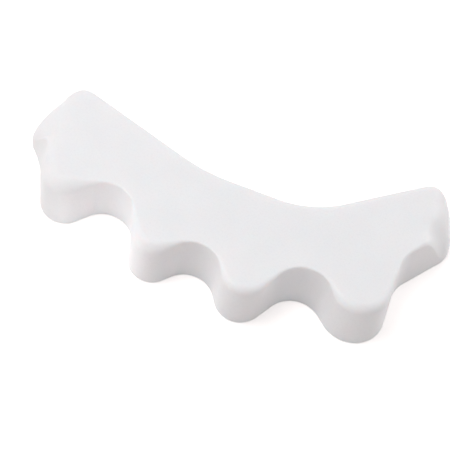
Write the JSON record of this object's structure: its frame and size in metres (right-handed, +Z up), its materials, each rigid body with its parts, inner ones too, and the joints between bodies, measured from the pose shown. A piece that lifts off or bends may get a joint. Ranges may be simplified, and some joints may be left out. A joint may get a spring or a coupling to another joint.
{
  "type": "toe separator",
  "caption": "Curved strip of moulded white silicone with rounded lobes between open bays that hold the toes apart, and ends that roll down to the base.",
  "frame": {"origin": "middle of the bounding box at the base face that the strip lies on", "axes": "+X along the strip's length towards the end with the widest lobe, +Y towards the hollow back edge, with the lobes pointing to -Y, +Z up through the thickness"},
  "size_m": [0.1094, 0.0474, 0.015],
  "materials": {
    "moulded_silicone": "soft milky satin silicone"
  },
  "bodies": {
    "root": {"separator_strip": "moulded_silicone"}
  },
  "joints": []
}
